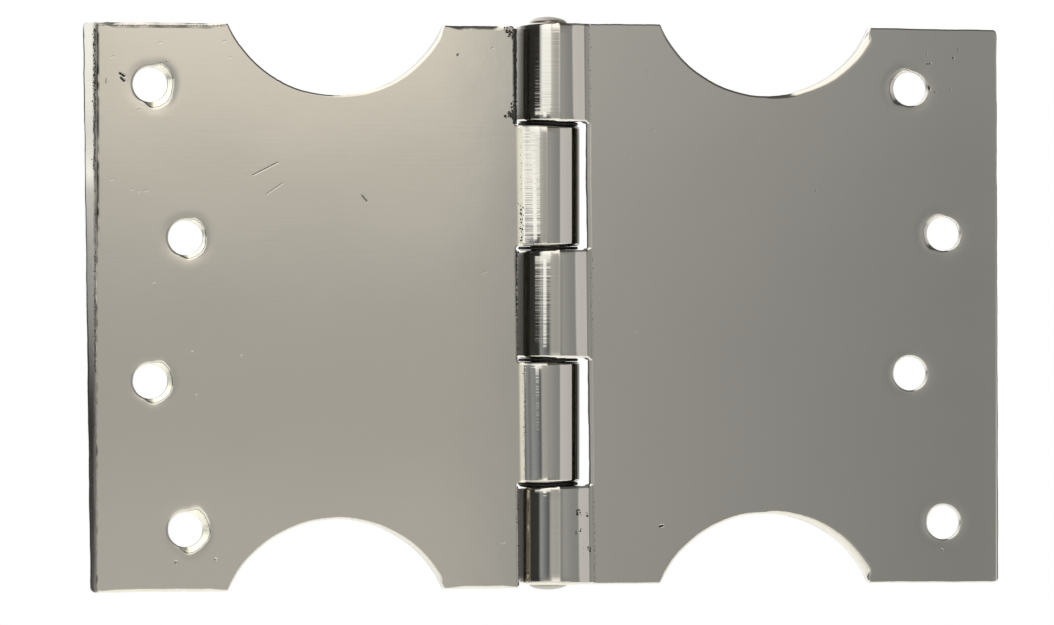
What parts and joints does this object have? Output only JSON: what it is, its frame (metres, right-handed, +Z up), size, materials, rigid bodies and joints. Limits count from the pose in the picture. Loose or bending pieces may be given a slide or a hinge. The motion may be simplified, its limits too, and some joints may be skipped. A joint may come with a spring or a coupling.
{
  "type": "parliament hinge",
  "caption": "Parliament hinge lying open and flat: two H-shaped sheet leaves with rolled interlocking knuckles, staggered countersunk screw holes and a riveted pin.",
  "frame": {"origin": "on the pin's axis, halfway up the barrel", "axes": "+Z up along the pin, +X from the pin towards the fixed right leaf, +Y towards the countersunk front of the open leaves"},
  "size_m": [0.168, 0.0116, 0.1041],
  "materials": {
    "leaf_nickel": "polished nickel plate on steel sheet, pitted and lightly scratched",
    "pin_nickel": "plated steel pin with peened ends"
  },
  "bodies": {
    "fixed_leaf": {"right_leaf": "leaf_nickel", "pin": "pin_nickel"},
    "swinging_leaf": {"left_leaf": "leaf_nickel"}
  },
  "joints": [
    {"name": "leaf_swing", "type": "hinge", "parent": "fixed_leaf", "child": "swinging_leaf", "pos_m": [0, 0, 0], "axis": [0, 0, -1], "range_deg": [-100, 180]}
  ]
}
